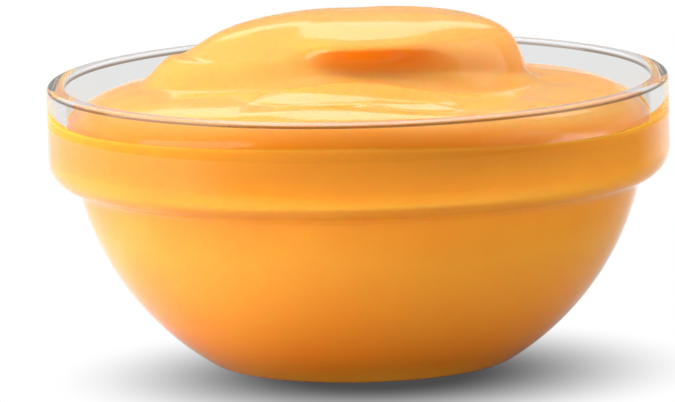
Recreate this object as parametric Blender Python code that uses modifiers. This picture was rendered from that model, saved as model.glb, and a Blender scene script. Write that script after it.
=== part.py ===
"""A round stacking bowl of pressed glass, filled with nacho cheese sauce.

The bowl is one piece of clear glass: a straight collar stands out over a rounded body, so that
bowls stack. The sauce is one soft body that is modelled as three solids: a fill that takes the
shape of the inside, a lower fold spread over it, and an upper fold lying on that with a tilt.

The origin is the middle of the flat base, +Z is up and lengths are metres.
"""

import math

import bmesh
import bpy

# The glass bowl
RIM_RADIUS = 0.0525  # outside of the collar
BOWL_HEIGHT = 0.0483
WALL = 0.0032
BASE_RADIUS = 0.0244  # flat underside, before its edge is rounded
BASE_THICKNESS = 0.0042
BODY_BULGE = 0.0041  # how far the body's side bows out from a straight line
COLLAR_DEPTH = 0.0123  # straight part of the collar, down from the rim
SHOULDER_STEP = 0.0050  # how far the collar stands out over the body, as a quarter round
CREASE_FILLET = 0.0006  # where the collar's underside meets the body
LEDGE_ROUND = 0.0012  # inner edge of the stacking ledge
FLOOR_ROUND = 0.0060
BASE_EDGE_ROUND = 0.0018
RIM_ROUND = 0.0009  # both edges of the rim's flat top

# The sauce
GAP = 0.0003  # between solids that touch
CONTACT_DEPTH = 0.0060  # rim down to where the sauce meets the wall
CROWN_DEPTH = 0.0010  # rim down to the top of the fill
CROWN_MARGIN = 0.0090  # inner wall to the fill's level top
LOWER_MARGIN = 0.0135  # inner wall to the lower fold's edge
LOWER_SHIFT = -0.0030  # the lower fold lies a little to the left
LOWER_RISE = 0.0046  # the lower fold's height on the axis
UPPER_MARGIN = 0.0210  # inner wall to the upper fold's edge
UPPER_RISE = 0.0090  # from there to the top
FOLD_SLOPE = -0.093  # rise over run of the lower fold's top along +X
FOLD_FLAT = 1.6  # above 1, flattens a fold's top and bottom and keeps its edge round
FOLD_EDGE = 0.35  # part of the upper fold's thickness that is below its widest line

GLASS_FADE = 0.6  # how see-through the glass looks in a plain view
SHARP_EDGE = math.radians(40)
WELD = 0.00001  # distance below which points on the axis are joined

BOWL_STEPS = 48
FILL_STEPS = 48
FOLD_SEGMENTS = 32
FOLD_RINGS = 16

INNER_RADIUS = RIM_RADIUS - WALL
SHOULDER_CENTRE = (RIM_RADIUS - SHOULDER_STEP, BOWL_HEIGHT - COLLAR_DEPTH)
SHOULDER = (SHOULDER_CENTRE[0], SHOULDER_CENTRE[1] - SHOULDER_STEP)
CROWN_Z = BOWL_HEIGHT - CROWN_DEPTH


def body_circle():
    """Centre and radius of the body's side: the arc over its chord from shoulder to base."""
    run = SHOULDER[0] - BASE_RADIUS
    rise = SHOULDER[1]
    chord = math.hypot(run, rise)
    radius = (chord**2 / 4 + BODY_BULGE**2) / (2 * BODY_BULGE)
    inward = radius - BODY_BULGE
    middle = ((SHOULDER[0] + BASE_RADIUS) / 2, rise / 2)
    return (middle[0] - inward * rise / chord, middle[1] + inward * run / chord), radius


BODY_CENTRE, BODY_RADIUS = body_circle()


def arc(centre, radius, start, end, count):
    """Points round a circle, from one angle to the other and with both ends."""
    angles = [start + (end - start) * i / count for i in range(count + 1)]
    return [(centre[0] + radius * math.cos(a), centre[1] + radius * math.sin(a)) for a in angles]


def bend(start, corner, end, count):
    """Points of a rounded corner between two ends, which are left out."""
    points = []
    for i in range(1, count):
        t = i / count
        a, b, c = (1 - t) ** 2, 2 * t * (1 - t), t**2
        points.append(tuple(a * s + b * m + c * e for s, m, e in zip(start, corner, end)))
    return points


def angle_at(height, radius):
    """Angle on a circle about the body's centre where it reaches this height, right of the axis."""
    return math.asin((height - BODY_CENTRE[1]) / radius)


def inside(gap, top):
    """Profile of the bowl's inside moved in by gap, from height top down to the middle of the floor."""
    wall = INNER_RADIUS - gap
    turn = SHOULDER_STEP - WALL - gap
    ledge = SHOULDER_CENTRE[1] - turn
    floor = BASE_THICKNESS + gap
    side = BODY_RADIUS - WALL - gap
    upper = angle_at(ledge - LEDGE_ROUND, side)
    lower = angle_at(floor + FLOOR_ROUND / 2, side)
    ledge_edge = BODY_CENTRE[0] + side * math.cos(angle_at(ledge, side))
    floor_edge = BODY_CENTRE[0] + side * math.cos(angle_at(floor, side))
    body = arc(BODY_CENTRE, side, upper, lower, 10)
    ledge_end = (ledge_edge + LEDGE_ROUND, ledge)
    floor_end = (floor_edge - FLOOR_ROUND, floor)
    points = [(wall, top)]
    points += arc(SHOULDER_CENTRE, turn, 0, -math.pi / 2, 4)
    points.append(ledge_end)
    points += bend(ledge_end, (ledge_edge, ledge), body[0], 4)
    points += body
    points += bend(body[-1], (floor_edge, floor), floor_end, 5)
    points += [floor_end, (0, floor)]
    return points


def outside():
    """Profile of the bowl's outside, from the collar down to the middle of the base."""
    start = angle_at(SHOULDER[1] - CREASE_FILLET, BODY_RADIUS)
    end = angle_at(BASE_EDGE_ROUND / 2, BODY_RADIUS)
    body = arc(BODY_CENTRE, BODY_RADIUS, start, end, 12)
    crease_start = (SHOULDER[0] + CREASE_FILLET, SHOULDER[1])
    turn = math.acos(CREASE_FILLET / SHOULDER_STEP)
    round_end = arc(SHOULDER_CENTRE, SHOULDER_STEP, 0, -turn, 7)
    base_edge = (BASE_RADIUS, 0)
    base_flat = (BASE_RADIUS - BASE_EDGE_ROUND, 0)
    points = round_end + bend(round_end[-1], crease_start, body[0], 3) + body
    points += bend(body[-1], base_edge, base_flat, 3)
    points += [base_flat, (0, 0)]
    return points


def bowl_profile():
    """Profile of the glass: up the inside, over the rim's rounded edges and down the outside."""
    rim_base = BOWL_HEIGHT - RIM_ROUND
    rim = arc((INNER_RADIUS + RIM_ROUND, rim_base), RIM_ROUND, math.pi, math.pi / 2, 4)
    rim += arc((RIM_RADIUS - RIM_ROUND, rim_base), RIM_ROUND, math.pi / 2, 0, 4)
    return inside(0, rim_base)[:0:-1] + rim + outside()


def fill_profile():
    """Profile of the fill: a level top that rolls over to the wall, then the bowl's inside."""
    contact = BOWL_HEIGHT - CONTACT_DEPTH
    wall = inside(GAP, contact)
    level = (INNER_RADIUS - CROWN_MARGIN, CROWN_Z)
    corner = (INNER_RADIUS - CROWN_MARGIN / 3, CROWN_Z)
    return [(0, CROWN_Z), level] + bend(level, corner, wall[0], 6) + wall


def collection(name):
    made = bpy.data.collections.new(name)
    bpy.context.scene.collection.children.link(made)
    return made


def material(name, colour, roughness, metallic=0.0, transmission=0.0, subsurface=0.0):
    made = bpy.data.materials.new(name)
    made.use_nodes = True
    made.diffuse_color = (*colour, 1 - transmission * GLASS_FADE)
    shader = made.node_tree.nodes["Principled BSDF"]
    shader.inputs["Base Color"].default_value = (*colour, 1)
    shader.inputs["Roughness"].default_value = roughness
    shader.inputs["Metallic"].default_value = metallic
    shader.inputs["Transmission Weight"].default_value = transmission
    shader.inputs["Subsurface Weight"].default_value = subsurface
    return made


def add_object(name, mesh, finish, into):
    mesh.materials.append(finish)
    mesh.shade_smooth()
    mesh.set_sharp_from_angle(angle=SHARP_EDGE)
    obj = bpy.data.objects.new(name, mesh)
    into.objects.link(obj)


def turned(name, profile, steps, finish, into):
    """A solid of revolution about Z, from a profile that runs down its outer side."""
    mesh = bpy.data.meshes.new(name)
    edges = [(i, i + 1) for i in range(len(profile) - 1)]
    mesh.from_pydata([(r, 0, z) for r, z in profile], edges, [])
    obj = bpy.data.objects.new(name, mesh)
    mesh.materials.append(finish)
    into.objects.link(obj)
    screw = obj.modifiers.new("Screw", "SCREW")
    screw.steps = steps
    screw.render_steps = steps
    screw.use_merge_vertices = True
    screw.merge_threshold = WELD
    screw.use_smooth_shade = True


def fold_base(x):
    """Height of the tilted plane on which the upper fold lies."""
    return CROWN_Z + LOWER_RISE + FOLD_SLOPE * x


def fold(name, centre_x, radius, heights, finish, into):
    """A soft round pad. heights gives a point's z from its x and its level, -1 to 1."""
    shape = bmesh.new()
    bmesh.ops.create_uvsphere(shape, u_segments=FOLD_SEGMENTS, v_segments=FOLD_RINGS, radius=1)
    for vert in shape.verts:
        x = centre_x + radius * vert.co.x
        vert.co = (x, radius * vert.co.y, heights(x, vert.co.z))
    mesh = bpy.data.meshes.new(name)
    shape.to_mesh(mesh)
    shape.free()
    add_object(name, mesh, finish, into)


def lower_heights(x, level):
    """Level below, on the fill, and tilted on top."""
    bottom = CROWN_Z + GAP
    part = 0.5 + 0.5 * max(-1, min(1, FOLD_FLAT * level))
    return bottom + (fold_base(x) - bottom) * part


def upper_heights(x, level):
    """Flat and tilted below, on the lower fold, and an upright dome on top."""
    bottom = fold_base(x) + GAP
    top = CROWN_Z + LOWER_RISE + UPPER_RISE
    if level < 0:
        part = FOLD_EDGE * (1 + max(-1, FOLD_FLAT * level))
    else:
        part = FOLD_EDGE + (1 - FOLD_EDGE) * level
    return bottom + (top - bottom) * part


def build():
    for obj in list(bpy.data.objects):
        bpy.data.objects.remove(obj)
    parts = collection("nacho_cheese_bowl")
    glass = material("clear_glass", (0.96, 0.97, 0.97), 0.03, transmission=1.0)
    sauce = material("cheese_sauce", (0.93, 0.42, 0.05), 0.28, subsurface=0.3)
    lower = material("lower_fold_sauce", (0.95, 0.46, 0.06), 0.25, subsurface=0.3)
    upper = material("upper_fold_sauce", (0.97, 0.50, 0.08), 0.25, subsurface=0.3)
    turned("glass_bowl", bowl_profile(), BOWL_STEPS, glass, parts)
    turned("cheese_fill", fill_profile(), FILL_STEPS, sauce, parts)
    lower_radius = INNER_RADIUS - LOWER_MARGIN
    upper_radius = INNER_RADIUS - UPPER_MARGIN
    fold("cheese_lower_fold", LOWER_SHIFT, lower_radius, lower_heights, lower, parts)
    fold("cheese_upper_fold", 0, upper_radius, upper_heights, upper, parts)


build()
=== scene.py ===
"""Looks of the bowl of nacho cheese sauce: clear pressed glass and a soft folded mound.

The bowl's width and height come from the frame, and its other sizes repeat the CAD's. The
sauce's surface is worked out in millimetres: x to the right, y away from the camera, and heights
from the rim. Values with four entries hold for the right, the back, the left and the front.
"""

import math

import bpy
import numpy as np
from mathutils import Matrix, Vector


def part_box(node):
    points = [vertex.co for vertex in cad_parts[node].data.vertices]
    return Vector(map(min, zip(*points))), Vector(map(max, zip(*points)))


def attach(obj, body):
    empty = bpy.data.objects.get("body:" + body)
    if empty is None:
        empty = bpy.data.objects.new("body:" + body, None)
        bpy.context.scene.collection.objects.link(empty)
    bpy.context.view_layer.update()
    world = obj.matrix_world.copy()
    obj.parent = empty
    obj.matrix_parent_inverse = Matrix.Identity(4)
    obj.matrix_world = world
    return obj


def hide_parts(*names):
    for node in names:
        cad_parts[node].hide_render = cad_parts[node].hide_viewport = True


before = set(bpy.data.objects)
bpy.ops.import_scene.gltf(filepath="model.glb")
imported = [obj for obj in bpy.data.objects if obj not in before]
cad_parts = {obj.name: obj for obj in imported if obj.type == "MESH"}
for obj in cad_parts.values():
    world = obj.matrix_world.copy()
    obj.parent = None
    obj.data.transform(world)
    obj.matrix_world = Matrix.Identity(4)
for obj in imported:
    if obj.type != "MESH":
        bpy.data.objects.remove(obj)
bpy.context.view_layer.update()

MM = 0.001

# The glass, as the CAD has it
GLASS_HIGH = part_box("glass_bowl")[1]
RIM_RADIUS = GLASS_HIGH[0]
BOWL_HEIGHT = GLASS_HIGH[2]
WALL = 3.2 * MM
BASE_RADIUS = 24.4 * MM
BASE_THICKNESS = 4.2 * MM
BODY_BULGE = 4.1 * MM
COLLAR_DEPTH = 12.3 * MM
SHOULDER_STEP = 5.0 * MM
CREASE_FILLET = 0.6 * MM
LEDGE_ROUND = 1.2 * MM
FLOOR_ROUND = 6.0 * MM
BASE_EDGE_ROUND = 1.8 * MM
RIM_ROUND = 0.9 * MM  # both edges of the rim's flat top

INNER_RADIUS = RIM_RADIUS - WALL
SHOULDER_CENTRE = (RIM_RADIUS - SHOULDER_STEP, BOWL_HEIGHT - COLLAR_DEPTH)
SHOULDER = (SHOULDER_CENTRE[0], SHOULDER_CENTRE[1] - SHOULDER_STEP)

# How finely the pieces are cut
GLASS_STEPS = 256
SAUCE_STEPS = 288
SURFACE_RINGS = 270
COLLAR_RINGS = 10  # from the end of the straight wall up to the sauce's edge
MIDDLE_RADIUS = 0.001  # of the sauce's last ring, in millimetres

# Bands of the glass, down from the rim. Real glass has the body's index all over. Above the sauce
# it is much lower here, so that the wall doesn't carry the sauce's colour up to the rim.
RIM_BAND = 1.3 * MM
CLEAR_BAND = 6.8 * MM
BODY_IOR = 1.5
CLEAR_IOR = 1.07
RIM_COAT = 0.7
RIM_CLEARNESS = 0.82  # how much of the rim's glass lets light through

# The sauce's surface, in millimetres
CONTACT = (-6.6, -5.4, -6.2, -4.9)  # height of its edge on the wall
CONTACT_TWIST = 1.6  # lifts that edge at the back right and lowers it at the front right
FILL_SHOULDER = (6.0, 0.5, 7.6, 3.9)  # how far the fill rises from its edge
FILL_LENGTH = (6.0, 9.0, 8.5, 1.7)  # over what distance it rises
FILL_SLOPE = (0.0, 0.13, 0.0, 0.12)  # how steeply it then goes on
RIPPLES = (0.4, 0.3, 0.2, 0.7)  # how strong the fill's slow waves are
PLANE_HEIGHT = 3.7  # of the lower fold's top in the middle
PLANE_LEFT = 1.1  # how much higher it gets at the left
PLANE_BACK = 0.16  # how steeply it falls to the back
LOWER_CENTRE = (-1.0, 0.0)
LOWER_OUTLINE = (33.5, 28.0, 36.5, 25.5)
LOWER_EDGE = (4.0, 8.0, 7.0, 6.5)  # over what distance the lower fold rises
UPPER_CENTRE = (0.6, 0.5)
UPPER_OUTLINE = (28.2, 23.0, 28.8, 21.5)
CROWN = 8.6
CROWN_DROP = (0.0, 0.6, 0.0, 0.7)  # from the middle of the crown to its outline
DOME = 3.0  # how much higher the middle is than that
OUTER_FALL = 1.2  # slope of the upper fold's surface outside its outline, below the lower fold
LIP = (0.6, 0.3, 0.0, 0.0)  # how far the upper fold's edge hangs over
FRONT_LIP = 2.6  # and how much more it does at the front

WETTED = 0.05 * MM  # how far the skin lies into the glass, so that no air shows between

# Colours of the sauce, both painted shade: from deep places (0) to open ones (1), and from the foot to the
# rim
SKIN_PAINTED_SHADES = ((0.15, (0.84, 0.26, 0.003, 1)), (1.0, (0.95, 0.44, 0.10, 1)))
STEEP, LEVEL = -0.20, 0.60  # how far up a place faces when it counts as steep and as level, for the painted shade
SHADED_EDGE = 4.0 * MM  # painted shade: the sauce is made a deeper orange this close to the wall
# Painted shade on the sauce against the glass: deeper and redder at the foot, lightest in the middle,
# darker at the collar.
WALL_PAINTED_SHADES = (
    (0.15, (0.96, 0.25, 0.004, 1)),
    (0.65, (0.97, 0.45, 0.050, 1)),
    (0.95, (0.80, 0.34, 0.035, 1)),
)

# The rim's colour, from its upright faces to its level top: painted shade darkens its roundings, and its
# level top is a little lighter
RIM_PAINTED_SHADES = (
    (0.02, (0.80, 0.78, 0.77, 1)),
    (0.14, (0.14, 0.09, 0.05, 1)),
    (0.45, (0.20, 0.14, 0.10, 1)),
    (0.75, (0.92, 0.90, 0.90, 1)),
)


# ---------------------------------------------------------------- the bowl's profile


def body_circle():
    """Centre and radius of the body's side: the arc over its chord from shoulder to base."""
    run = SHOULDER[0] - BASE_RADIUS
    rise = SHOULDER[1]
    chord = math.hypot(run, rise)
    radius = (chord**2 / 4 + BODY_BULGE**2) / (2 * BODY_BULGE)
    inward = radius - BODY_BULGE
    middle = ((SHOULDER[0] + BASE_RADIUS) / 2, rise / 2)
    return (middle[0] - inward * rise / chord, middle[1] + inward * run / chord), radius


BODY_CENTRE, BODY_RADIUS = body_circle()


def arc(centre, radius, start, end, count):
    """Points round a circle, from one angle to the other and with both ends."""
    angles = [start + (end - start) * i / count for i in range(count + 1)]
    return [(centre[0] + radius * math.cos(a), centre[1] + radius * math.sin(a)) for a in angles]


def bend(start, corner, end, count):
    """Points of a rounded corner between two ends, which are left out."""
    points = []
    for i in range(1, count):
        t = i / count
        a, b, c = (1 - t) ** 2, 2 * t * (1 - t), t**2
        points.append(tuple(a * s + b * m + c * e for s, m, e in zip(start, corner, end)))
    return points


def run_to(start, end, count):
    """Points on a straight line, without its two ends."""
    return [tuple(s + (e - s) * i / count for s, e in zip(start, end)) for i in range(1, count)]


def angle_at(height, radius):
    """Angle on a circle about the body's centre where it reaches this height."""
    return math.asin((height - BODY_CENTRE[1]) / radius)


def inside(gap):
    """Profile of the bowl's inside moved in by gap, from the end of the collar to the floor."""
    turn = SHOULDER_STEP - WALL - gap
    ledge = SHOULDER_CENTRE[1] - turn
    floor = BASE_THICKNESS + gap
    side = BODY_RADIUS - WALL - gap
    ledge_edge = BODY_CENTRE[0] + side * math.cos(angle_at(ledge, side))
    floor_edge = BODY_CENTRE[0] + side * math.cos(angle_at(floor, side))
    upper = angle_at(ledge - LEDGE_ROUND, side)
    lower = angle_at(floor + FLOOR_ROUND / 2, side)
    body = arc(BODY_CENTRE, side, upper, lower, 26)
    ledge_end = (ledge_edge + LEDGE_ROUND, ledge)
    floor_end = (floor_edge - FLOOR_ROUND, floor)
    points = arc(SHOULDER_CENTRE, turn, 0, -math.pi / 2, 8)
    points.append(ledge_end)
    points += bend(ledge_end, (ledge_edge, ledge), body[0], 8)
    points += body
    points += bend(body[-1], (floor_edge, floor), floor_end, 10)
    points.append(floor_end)
    points += run_to(floor_end, (0, floor), 6)
    return points + [(0, floor)]


def outside():
    """Profile of the bowl's outside, from the end of the collar to the middle of the base."""
    start = angle_at(SHOULDER[1] - CREASE_FILLET, BODY_RADIUS)
    end = angle_at(BASE_EDGE_ROUND / 2, BODY_RADIUS)
    body = arc(BODY_CENTRE, BODY_RADIUS, start, end, 30)
    crease_start = (SHOULDER[0] + CREASE_FILLET, SHOULDER[1])
    turn = math.acos(CREASE_FILLET / SHOULDER_STEP)
    points = arc(SHOULDER_CENTRE, SHOULDER_STEP, 0, -turn, 16)
    points += bend(points[-1], crease_start, body[0], 6)
    points += body
    base_flat = (BASE_RADIUS - BASE_EDGE_ROUND, 0)
    points += bend(body[-1], (BASE_RADIUS, 0), base_flat, 7)
    points.append(base_flat)
    points += run_to(base_flat, (0, 0), 5)
    return points + [(0, 0)]


def glass_profile():
    """Up the inside, over the rim's flat top with its rounded edges, and down the outside."""
    top = BOWL_HEIGHT - RIM_ROUND
    rim = arc((INNER_RADIUS + RIM_ROUND, top), RIM_ROUND, math.pi, math.pi / 2, 10)
    rim += run_to(rim[-1], (RIM_RADIUS - RIM_ROUND, BOWL_HEIGHT), 3)
    rim += arc((RIM_RADIUS - RIM_ROUND, top), RIM_ROUND, math.pi / 2, 0, 10)
    within, without = inside(0), outside()
    collar_in = run_to(within[0], rim[0], 6)
    collar_out = run_to(rim[-1], without[0], 6)
    return within[::-1] + collar_in + rim + collar_out + without


# ---------------------------------------------------------------- meshes


def grid_mesh(name, rings):
    """A closed body from rings of points: each ring an array (steps, 3), both ends a single point."""
    steps = len(rings[1])
    points = [rings[0][:1]] + list(rings[1:-1]) + [rings[-1][:1]]
    faces = []
    following = np.roll(np.arange(steps), -1)
    first = 1 + np.arange(steps)
    faces += [(0, int(a), int(b)) for a, b in zip(first, first[following])]
    for ring in range(len(rings) - 3):
        a = 1 + ring * steps + np.arange(steps)
        b = a + steps
        quads = np.stack([a, b, b[following], a[following]], -1)
        faces += [tuple(map(int, quad)) for quad in quads]
    last = 1 + (len(rings) - 3) * steps + np.arange(steps)
    end = 1 + (len(rings) - 2) * steps
    faces += [(end, int(b), int(a)) for a, b in zip(last, last[following])]
    mesh = bpy.data.meshes.new(name)
    mesh.from_pydata(np.concatenate(points).tolist(), [], faces)
    mesh.validate()
    mesh.shade_smooth()
    return mesh


def ring(radius, height, steps):
    """A ring about Z. radius and height are numbers, or one value for each step."""
    angle = np.arange(steps) * (2 * math.pi / steps)
    x, y = np.cos(angle) * radius, np.sin(angle) * radius
    return np.stack([x, y, np.zeros(steps) + height], -1)


def place(name, mesh, *finishes):
    """An object in the scene with these materials, in the order of their slots."""
    piece = bpy.data.objects.new(name, mesh)
    bpy.context.scene.collection.objects.link(piece)
    for finish in finishes:
        mesh.materials.append(finish)
    return piece


# ---------------------------------------------------------------- materials


def fill_ramp(elements, stops):
    """Sets a new colour ramp's stops, which are pairs of a position and a colour."""
    for i, (position, colour) in enumerate(stops):
        stop = elements[i] if i < 2 else elements.new(1.0)
        stop.position, stop.color = position, colour


class Nodes:
    """Short words for building one material's node tree."""

    def __init__(self, name):
        self.material = bpy.data.materials.new(name)
        self.material.use_nodes = True
        self.tree = self.material.node_tree
        self.shader = self.tree.nodes["Principled BSDF"]
        self.output = self.tree.nodes["Material Output"]

    def add(self, kind, links=(), **values):
        node = self.tree.nodes.new(kind)
        for key, value in values.items():
            setattr(node, key, value)
        for socket, source in dict(links).items():
            if hasattr(source, "is_output"):
                self.tree.links.new(source, node.inputs[socket])
            else:
                node.inputs[socket].default_value = source
        return node

    def set(self, **values):
        for key, value in values.items():
            self.shader.inputs[key.replace("_", " ")].default_value = value

    def link(self, source, socket):
        self.tree.links.new(source, self.shader.inputs[socket])

    def openness(self):
        """Mask for painted shade: 1 on open level places, less on steep ones and under folds, and 0 at the
        wall.
        """
        normal = self.add("ShaderNodeNewGeometry").outputs["Normal"]
        upward = self.add("ShaderNodeSeparateXYZ", {"Vector": normal}).outputs["Z"]
        level = self.add("ShaderNodeMapRange", {"Value": upward}, interpolation_type="SMOOTHSTEP")
        level.inputs["From Min"].default_value = STEEP
        level.inputs["From Max"].default_value = LEVEL
        cover = self.add("ShaderNodeAmbientOcclusion", {"Distance": 9 * MM}, samples=8)
        cover.only_local = True
        where = self.add("ShaderNodeTexCoord").outputs["Object"]
        flat = self.add("ShaderNodeVectorMath", {0: where, 1: (1, 1, 0)}, operation="MULTIPLY")
        away = self.add("ShaderNodeVectorMath", {0: flat.outputs[0]}, operation="LENGTH")
        clear = self.add("ShaderNodeMapRange", {"Value": away.outputs["Value"]})
        clear.inputs["From Min"].default_value = INNER_RADIUS
        clear.inputs["From Max"].default_value = INNER_RADIUS - SHADED_EDGE
        shaded = self.add(
            "ShaderNodeMath",
            {0: level.outputs["Result"], 1: cover.outputs["AO"]},
            operation="MULTIPLY",
        )
        return self.add(
            "ShaderNodeMath",
            {0: shaded.outputs[0], 1: clear.outputs["Result"]},
            operation="MULTIPLY",
        ).outputs[0]


def glass_material(name, tint, ior, coat=0.0, clearness=1.0, painted_shades=()):
    """Pressed glass with faint waves, clear to shadow rays, with optional painted shades by how level it
    is.
    """
    n = Nodes(name)
    n.set(Base_Color=tint, Roughness=0.02, IOR=ior, Coat_Weight=coat, Transmission_Weight=clearness)
    if painted_shades:
        # Painted shade: the colour comes from how far up the glass faces, darker on the roundings.
        normal = n.add("ShaderNodeNewGeometry").outputs["Normal"]
        upward = n.add("ShaderNodeSeparateXYZ", {"Vector": normal}).outputs["Z"]
        colour = n.add("ShaderNodeValToRGB", {"Fac": upward})
        fill_ramp(colour.color_ramp.elements, painted_shades)
        n.link(colour.outputs["Color"], "Base Color")
    where = n.add("ShaderNodeTexCoord").outputs["Object"]
    waves = n.add("ShaderNodeTexNoise", {"Vector": where, "Scale": 55.0, "Detail": 1.5})
    bump = n.add("ShaderNodeBump", {"Height": waves.outputs["Fac"], "Strength": 0.06, "Distance": 0.001})
    n.link(bump.outputs["Normal"], "Normal")
    rays = n.add("ShaderNodeLightPath")
    see_through = n.add("ShaderNodeBsdfTransparent", {"Color": (0.96, 0.97, 0.97, 1)})
    mix = n.add(
        "ShaderNodeMixShader",
        {0: rays.outputs["Is Shadow Ray"], 1: n.shader.outputs[0], 2: see_through.outputs[0]},
    )
    n.tree.links.new(mix.outputs[0], n.output.inputs["Surface"])
    return n.material


def sauce_material(name, shades, roughness, specular, painted_hollow_shade=False):
    """Thick sauce: light spreads inside it, and its colour clouds a little.

    The shades are painted shade, from the foot of the bowl to its rim or, when hollows are shaded, from
    steep and covered places to open ones: a deeper orange where little light gets in.
    """
    n = Nodes(name)
    where = n.add("ShaderNodeTexCoord").outputs["Object"]
    height = n.add("ShaderNodeSeparateXYZ", {"Vector": where}).outputs["Z"]
    cloud = n.add("ShaderNodeTexNoise", {"Vector": where, "Scale": 38.0, "Detail": 3.0})
    level = n.add("ShaderNodeMapRange", {"Value": height, "From Min": 0.0, "From Max": BOWL_HEIGHT})
    drift = n.add("ShaderNodeMath", {0: cloud.outputs["Fac"], 1: 0.30}, operation="MULTIPLY")
    lift = n.add("ShaderNodeMath", {0: level.outputs["Result"], 1: drift.outputs[0]}, operation="ADD")
    # Painted shade: on the skin the colour follows how open a place is instead of its height.
    if painted_hollow_shade:
        lift = n.add("ShaderNodeMath", {0: n.openness(), 1: drift.outputs[0]}, operation="ADD")
    colour = n.add("ShaderNodeValToRGB", {"Fac": lift.outputs[0]})
    fill_ramp(colour.color_ramp.elements, shades)
    n.link(colour.outputs["Color"], "Base Color")
    n.set(Subsurface_Weight=1.0, Subsurface_Scale=0.004, Subsurface_Radius=(1.0, 0.45, 0.12))
    n.set(IOR=1.42, Specular_IOR_Level=specular)
    fine = n.add("ShaderNodeTexNoise", {"Vector": where, "Scale": 420.0, "Detail": 2.0})
    grain = n.add("ShaderNodeMapRange", {"Value": fine.outputs["Fac"]})
    grain.inputs["To Min"].default_value = roughness - 0.03
    grain.inputs["To Max"].default_value = roughness + 0.03
    n.link(grain.outputs["Result"], "Roughness")
    bump = n.add("ShaderNodeBump", {"Height": cloud.outputs["Fac"], "Strength": 0.05, "Distance": 0.001})
    n.link(bump.outputs["Normal"], "Normal")
    return n.material


# ---------------------------------------------------------------- glass


def make_glass():
    """The bowl: one piece of glass, with a material for its body and each of the bands above."""
    rings = [ring(r, z, GLASS_STEPS) for r, z in glass_profile()]
    mesh = grid_mesh("pressed_glass_bowl", rings)
    body = glass_material("pressed_glass", (0.93, 0.94, 0.95, 1), BODY_IOR)
    clear = glass_material("pressed_glass_above_sauce", (0.78, 0.79, 0.785, 1), CLEAR_IOR)
    rim = glass_material(
        "pressed_glass_rim",
        (0.78, 0.76, 0.75, 1),
        CLEAR_IOR,
        RIM_COAT,
        RIM_CLEARNESS,
        RIM_PAINTED_SHADES,
    )
    piece = place("pressed_glass_bowl", mesh, body, clear, rim)
    for face in mesh.polygons:
        depth = BOWL_HEIGHT - face.center.z
        face.material_index = int(depth < CLEAR_BAND) + int(depth < RIM_BAND)
    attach(piece, "root")
    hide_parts("glass_bowl")
    return piece


# ---------------------------------------------------------------- sauce


def smooth(value, low, high):
    """0 below low, 1 above high, and a smooth rise between."""
    t = np.clip((value - low) / (high - low), 0, 1)
    return t * t * (3 - 2 * t)


def by_side(x, y, right, back, left, front):
    """A value that goes smoothly from one to the next round the bowl."""
    r = np.hypot(x, y) + 1e-9
    c, s = x / r, y / r
    toward = [np.maximum(c, 0), np.maximum(s, 0), np.maximum(-c, 0), np.maximum(-s, 0)]
    return sum(w**2 * v for w, v in zip(toward, (right, back, left, front)))


def contact_height(x, y):
    """Height of the sauce's edge on the wall."""
    across = np.maximum(x, 0) * y / (x**2 + y**2 + 1e-9)
    return by_side(x, y, *CONTACT) + CONTACT_TWIST * across


def fill_height(x, y):
    """The fill: from its edge on the wall it rises in a round shoulder and levels off.

    At the front the shoulder stands close to the wall, then the fill climbs gently.
    """
    depth = np.maximum(INNER_RADIUS / MM - np.hypot(x, y), 0)
    shoulder = by_side(x, y, *FILL_SHOULDER)
    length = by_side(x, y, *FILL_LENGTH)
    slope = by_side(x, y, *FILL_SLOPE)
    return contact_height(x, y) + shoulder * (1 - np.exp(-depth / length)) + slope * depth


def plane(x, y):
    """The level on which the upper fold lies: it rises to the left and falls to the right and back."""
    to_left = PLANE_LEFT * (1 - np.exp(0.1 * np.minimum(x, 0)))
    to_right = 0.00014 * np.maximum(x, 0) ** 3
    return PLANE_HEIGHT + to_left - to_right - PLANE_BACK * np.maximum(y, 0)


def outline(x, y, centre, right, back, left, front):
    """Distance inside a soft oval, negative outside, its outward direction, and part of the way out."""
    u, v = x - centre[0], y - centre[1]
    r = np.hypot(u, v) + 1e-9
    c, s = u / r, v / r
    across = np.where(u > 0, right, left)
    along = np.where(v > 0, back, front)
    reach = 1 / np.sqrt((c / across) ** 2 + (s / along) ** 2)
    return reach - r, c, s, r / reach


def ribbon(x, y, centre, half_length, half_width, height, tilt):
    """A low flat-topped ridge from side to side, its top tilted to the front."""
    u = (x - centre[0]) / half_length
    v = (y - centre[1]) / half_width
    inner = 1 - (np.abs(u) ** 2.5 + np.abs(v) ** 2.5)
    return smooth(inner, 0.0, 0.35) * (height + tilt * (y - centre[1]))


def merged(a, b, width):
    """The higher of two surfaces, with a hollow of this width rounded where they meet."""
    near = np.maximum(width - np.abs(a - b), 0) / width
    return np.maximum(a, b) + near**2 * width / 4


def ripples(x, y):
    """Slow waves from side to side that catch the light."""
    waves = 0.10 * np.sin(0.42 * y + 0.9 * np.sin(0.11 * x + 0.6))
    waves += 0.07 * np.sin(0.75 * y + 1.3 * np.sin(0.17 * x - 0.4) + 0.05 * x)
    return waves


def lower_fold(x, y, ground):
    """The fill's surface, lifted to the plane inside the lower fold's outline."""
    d = outline(x, y, LOWER_CENTRE, *LOWER_OUTLINE)[0]
    rise = smooth(d, 0.0, by_side(x, y, *LOWER_EDGE))
    return ground + (plane(x, y) - ground) * rise


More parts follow.
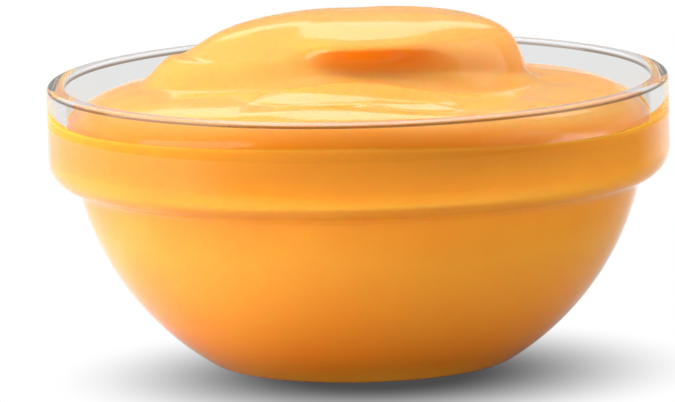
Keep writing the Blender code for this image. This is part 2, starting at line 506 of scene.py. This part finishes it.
def sauce_surface(x, y):
    """Height of the sauce and how far a point is carried sideways, for points in millimetres."""
    ground = fill_height(x, y)
    ground += ribbon(x, y, (-0.5, -29.6), 18.0, 6.0, 0.35, 0.045)
    ground += ribbon(x, y, (8.0, -35.6), 9.0, 2.6, 0.30, 0.05)
    inside_wall = smooth(INNER_RADIUS / MM - np.hypot(x, y), 3.0, 9.0)
    ground += ripples(x, y) * inside_wall * by_side(x, y, *RIPPLES)
    lower = lower_fold(x, y, ground)
    d, c, s, part = outline(x, y, UPPER_CENTRE, *UPPER_OUTLINE)
    overhung = smooth(-s - 0.30 * np.maximum(-c, 0) - 0.12 * np.maximum(c, 0), 0.42, 1.0)
    leftward = smooth(-x, -5.0, 12.0)
    length = 0.9 * overhung + (1 - overhung) * by_side(x, y, 2.6, 6.0, 4.5, 2.6 + 2.4 * leftward)
    base = plane(x, y)
    crown = CROWN - by_side(x, y, *CROWN_DROP) * np.minimum(part, 1) ** 2
    face = 1 - np.exp(-np.maximum(d, 0) / length)
    upper = base + (crown - base) * face + np.minimum(d, 0) * OUTER_FALL + DOME * (1 - part**2)
    upper += 0.4 * ripples(x + 7, y - 5) * smooth(d, 1.0, 6.0)
    hollow = 0.5 * overhung + (1 - overhung) * by_side(x, y, 0.6, 3.0, 3.0, 1.2 + 3.8 * leftward)
    height = merged(upper, lower, hollow)
    face = np.clip(face, 0, 1)
    lip = by_side(x, y, *LIP) + FRONT_LIP * overhung
    push = lip * face**2.5 * np.exp(-np.maximum(d - 1.5, 0) / 4.0)
    return height, c * push, s * push


def surface_rings():
    """Rings of the sauce's top, from its edge on the wall to the middle."""
    edge = (INNER_RADIUS + WETTED) / MM
    angle = np.arange(SAUCE_STEPS) * (2 * math.pi / SAUCE_STEPS)
    # The last ring is tiny and not a point, because by_side needs a direction at every point.
    radii = np.maximum(edge * (1 - np.linspace(0, 1, SURFACE_RINGS)), MIDDLE_RADIUS)
    x = radii[:, None] * np.cos(angle)[None, :]
    y = radii[:, None] * np.sin(angle)[None, :]
    z, dx, dy = sauce_surface(x, y)
    return np.stack([x + dx, y + dy, z + BOWL_HEIGHT / MM], -1) * MM


def make_sauce():
    """All the sauce as one closed body: its skin, and the rest where it lies against the glass."""
    top = surface_rings()
    profile = inside(-WETTED)[::-1]
    wall = [ring(r, z, SAUCE_STEPS) for r, z in profile]
    edge = top[0]
    start = wall[-1]
    collar = [start + (edge - start) * i / COLLAR_RINGS for i in range(1, COLLAR_RINGS)]
    rings = wall + collar + list(top)
    mesh = grid_mesh("cheese_sauce", rings)
    piece = place(
        "cheese_sauce",
        mesh,
        sauce_material("cheese_sauce_skin", SKIN_PAINTED_SHADES, 0.10, 0.5, painted_hollow_shade=True),
        sauce_material("cheese_sauce_at_glass", WALL_PAINTED_SHADES, 0.5, 0.0),
    )
    wall_faces = SAUCE_STEPS * (len(wall) + len(collar) + 1)
    slots = np.zeros(len(mesh.polygons), np.int32)
    slots[:wall_faces] = 1
    mesh.polygons.foreach_set("material_index", slots)
    mesh.update()
    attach(piece, "root")
    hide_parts("cheese_fill", "cheese_lower_fold", "cheese_upper_fold")
    return piece


# ---------------------------------------------------------------- stage

FLOOR_SIZE = 3.0
# Painted shadow on the floor's glow, and painted light that its glow gives the bowl
SHADE_CENTRE = (3 * MM, -14 * MM, 0)
SHADE_CORE = 13 * MM
SHADE_EDGE = 57 * MM
SHADE_DEEPEST = 0.07
FLOOR_BOUNCE = (2.6, 1.55)  # painted light: how much more the floor's glow lights the bowl than it shows, left and right
BOUNCE_SPAN = 60 * MM
BOUNCE_DEEPEST = 0.20  # the painted shadow's deepest shade as far as it lights the bowl
DARK_REFLECTION_AWAY = (-0.62, 0.78, 0)  # painted reflection: from where gloss sees the floor dark towards where it sees it bright
DARK_REFLECTION_EDGE = 60 * MM
DARK_LEVEL = 0.05  # the studio in front of the bowl, and the floor's painted dark reflection
CLEAR_LEVEL = 0.87  # the backdrop as seen through the glass
MIRROR_LEVELS = ((-0.02, 0.60), (0.12, 0.38), (0.30, 0.30))
BACKDROP_FADE = (-0.05, 0.35)  # how far behind, as the world's Y, the backdrop begins and is whole


def make_floor():
    """A pale floor that glows evenly, with a painted soft round shadow under the bowl and to its front.

    Its glow lights the bowl more than it shows, more on the left: painted light. In front of the
    bowl gloss sees it dark: a painted dark reflection.
    """
    n = Nodes("studio_floor")
    where = n.add("ShaderNodeTexCoord").outputs["Object"]
    # Painted shadow: the glow fades round a point under the bowl and to its front.
    away = n.add("ShaderNodeVectorMath", {0: where, 1: SHADE_CENTRE}, operation="DISTANCE")
    shade = n.add("ShaderNodeMapRange", {"Value": away.outputs["Value"]}, interpolation_type="SMOOTHSTEP")
    shade.inputs["From Min"].default_value = SHADE_CORE
    shade.inputs["From Max"].default_value = SHADE_EDGE
    rays = n.add("ShaderNodeLightPath").outputs
    # Painted light: rays that bounce see a lighter shadow and a stronger glow.
    bounced = n.add("ShaderNodeMath", {0: rays["Diffuse Depth"], 1: 0.5}, operation="GREATER_THAN")
    deepest = n.add("ShaderNodeMapRange", {"Value": bounced.outputs[0], "To Max": BOUNCE_DEEPEST})
    deepest.inputs["To Min"].default_value = SHADE_DEEPEST
    n.tree.links.new(deepest.outputs["Result"], shade.inputs["To Min"])
    side = n.add("ShaderNodeSeparateXYZ", {"Vector": where}).outputs["X"]
    bounce = n.add("ShaderNodeMapRange", {"Value": side, "From Min": -BOUNCE_SPAN, "From Max": BOUNCE_SPAN})
    bounce.inputs["To Min"].default_value = FLOOR_BOUNCE[0]
    bounce.inputs["To Max"].default_value = FLOOR_BOUNCE[1]
    gain = n.add("ShaderNodeMapRange", {"Value": bounced.outputs[0], "To Min": 1.0})
    n.tree.links.new(bounce.outputs["Result"], gain.inputs["To Max"])
    # Painted reflection: gloss sees the floor dark in front of the bowl.
    aside = n.add("ShaderNodeVectorMath", {0: where, 1: DARK_REFLECTION_AWAY}, operation="DOT_PRODUCT")
    dark_reflection = n.add("ShaderNodeMapRange", {"Value": aside.outputs["Value"]})
    dark_reflection.inputs["From Min"].default_value = -DARK_REFLECTION_EDGE
    dark_reflection.inputs["From Max"].default_value = DARK_REFLECTION_EDGE
    dark_reflection.inputs["To Min"].default_value = DARK_LEVEL
    direct = n.add(
        "ShaderNodeMath",
        {0: rays["Is Glossy Ray"], 1: bounced.outputs[0]},
        operation="SUBTRACT",
    )
    mirror = n.add(
        "ShaderNodeMath",
        {0: direct.outputs[0], 1: rays["Is Transmission Ray"]},
        operation="SUBTRACT",
        use_clamp=True,
    )
    mirrored = n.add("ShaderNodeMix", {"Factor": mirror.outputs[0], "A": gain.outputs["Result"]})
    n.tree.links.new(dark_reflection.outputs["Result"], mirrored.inputs["B"])
    level = n.add(
        "ShaderNodeMath",
        {0: shade.outputs["Result"], 1: mirrored.outputs[0]},
        operation="MULTIPLY",
    )
    glow = n.add("ShaderNodeEmission", {"Strength": level.outputs[0]})
    n.tree.links.new(glow.outputs[0], n.output.inputs["Surface"])
    mesh = bpy.data.meshes.new("studio_floor")
    corners = [(x * FLOOR_SIZE, y * FLOOR_SIZE, 0) for x, y in ((-1, -1), (1, -1), (1, 1), (-1, 1))]
    mesh.from_pydata(corners, [], [(0, 1, 2, 3)])
    floor = place("studio_floor", mesh, n.material)


def area_light(name, azimuth, elevation, distance, width, height, power, colour=(1, 1, 1)):
    """A softbox facing the bowl. Azimuth 0 is straight behind it, and 90 is to the right."""
    a, e = math.radians(azimuth), math.radians(elevation)
    aim = Vector((0, 0, BOWL_HEIGHT))
    way = Vector((math.sin(a) * math.cos(e), math.cos(a) * math.cos(e), math.sin(e)))
    data = bpy.data.lights.new(name, "AREA")
    data.shape = "RECTANGLE"
    data.size, data.size_y = width, height
    data.energy = power
    data.color = colour
    lamp = bpy.data.objects.new(name, data)
    lamp.location = aim + way * distance
    lamp.rotation_euler = way.to_track_quat("Z", "Y").to_euler()
    bpy.context.scene.collection.objects.link(lamp)
    return lamp


def make_world():
    """White to the camera, nearly white through the glass, and else dark with a dim backdrop."""
    world = bpy.data.worlds.new("studio")
    bpy.context.scene.world = world
    world.use_nodes = True
    tree = world.node_tree
    output = tree.nodes["World Output"]
    white = tree.nodes["Background"]
    white.inputs["Color"].default_value = (1, 1, 1, 1)

    def add(kind, links, **values):
        node = tree.nodes.new(kind)
        for key, value in values.items():
            setattr(node, key, value)
        for socket, source in links.items():
            if hasattr(source, "is_output"):
                tree.links.new(source, node.inputs[socket])
            else:
                node.inputs[socket].default_value = source
        return node.outputs[0]

    rays = tree.nodes.new("ShaderNodeLightPath").outputs
    where = tree.nodes.new("ShaderNodeTexCoord").outputs["Generated"]
    y = tree.nodes.new("ShaderNodeSeparateXYZ")
    tree.links.new(where, y.inputs[0])
    first = add("ShaderNodeMath", {0: rays["Diffuse Depth"], 1: 0.5}, operation="LESS_THAN")
    through = add("ShaderNodeMath", {0: rays["Is Transmission Ray"], 1: first}, operation="MULTIPLY")
    half = add("ShaderNodeMath", {0: y.outputs["Z"], 1: 0.5, 2: 0.5}, operation="MULTIPLY_ADD")
    mirrored = add("ShaderNodeValToRGB", {"Fac": half})
    ramp = mirrored.node.color_ramp.elements
    fill_ramp(ramp, [(z / 2 + 0.5, (value, value, value, 1)) for z, value in MIRROR_LEVELS])
    level = add("ShaderNodeMix", {"Factor": through, "A": mirrored, "B": CLEAR_LEVEL})
    behind = add(
        "ShaderNodeMapRange",
        {
            "Value": y.outputs["Y"],
            "From Min": BACKDROP_FADE[0],
            "From Max": BACKDROP_FADE[1],
            "To Min": DARK_LEVEL,
            "To Max": level,
        },
        interpolation_type="SMOOTHSTEP",
    )
    studio = add("ShaderNodeBackground", {"Strength": behind})
    mix = add("ShaderNodeMixShader", {0: rays["Is Camera Ray"], 1: studio, 2: white.outputs[0]})
    tree.links.new(mix, output.inputs["Surface"])


def make_lights():
    """Softboxes round the bowl, in degrees, metres and watts. Three of them leave no highlight."""
    area_light("top_softbox", 0, 72, 1.0, 0.9, 0.7, 10).visible_glossy = False
    area_light("top_strip", 0, 72, 1.0, 0.9, 0.2, 2.8)
    area_light("back_softbox", 0, 31, 1.2, 0.8, 0.26, 0.8)
    area_light("left_softbox", -100, 25, 1.0, 1.0, 0.8, 10)
    area_light("front_fill", -155, 12, 1.4, 1.2, 1.0, 2.7).visible_glossy = False
    area_light("right_fill", 85, 32, 1.2, 1.0, 0.9, 2.6)
    area_light("right_softbox", 54, 40, 1.2, 0.8, 0.5, 5.0).visible_glossy = False


def make_camera():
    """A long lens, a little above the rim and rolled a little, that looks just past the middle."""
    distance = 2.4
    elevation = math.radians(8.83)
    roll = math.radians(1.41)
    view_width = 114.06 * MM  # how much of the bowl's own plane fits across the picture
    off_right = -3.954 * MM
    off_up = 3.853 * MM
    aim = Vector((0, 0, BOWL_HEIGHT - 25 * MM))
    back = Vector((0, -math.cos(elevation), math.sin(elevation)))
    right = Vector((1, 0, 0))
    up = back.cross(right)
    right_rolled = right * math.cos(roll) - up * math.sin(roll)
    up_rolled = up * math.cos(roll) + right * math.sin(roll)
    off = right_rolled * off_right + up_rolled * off_up
    data = bpy.data.cameras.new("camera")
    camera = bpy.data.objects.new("camera", data)
    turn = Matrix((right_rolled, up_rolled, back)).transposed().to_4x4()
    camera.matrix_world = Matrix.Translation(aim + back * distance + off) @ turn
    data.sensor_width = 36.0
    data.lens = data.sensor_width * distance / view_width
    data.clip_start, data.clip_end = 0.05, 50.0
    bpy.context.scene.collection.objects.link(camera)
    bpy.context.scene.camera = camera


make_camera()
make_floor()
make_world()
make_lights()
make_glass()
make_sauce()
bpy.context.scene.view_settings.view_transform = "Standard"
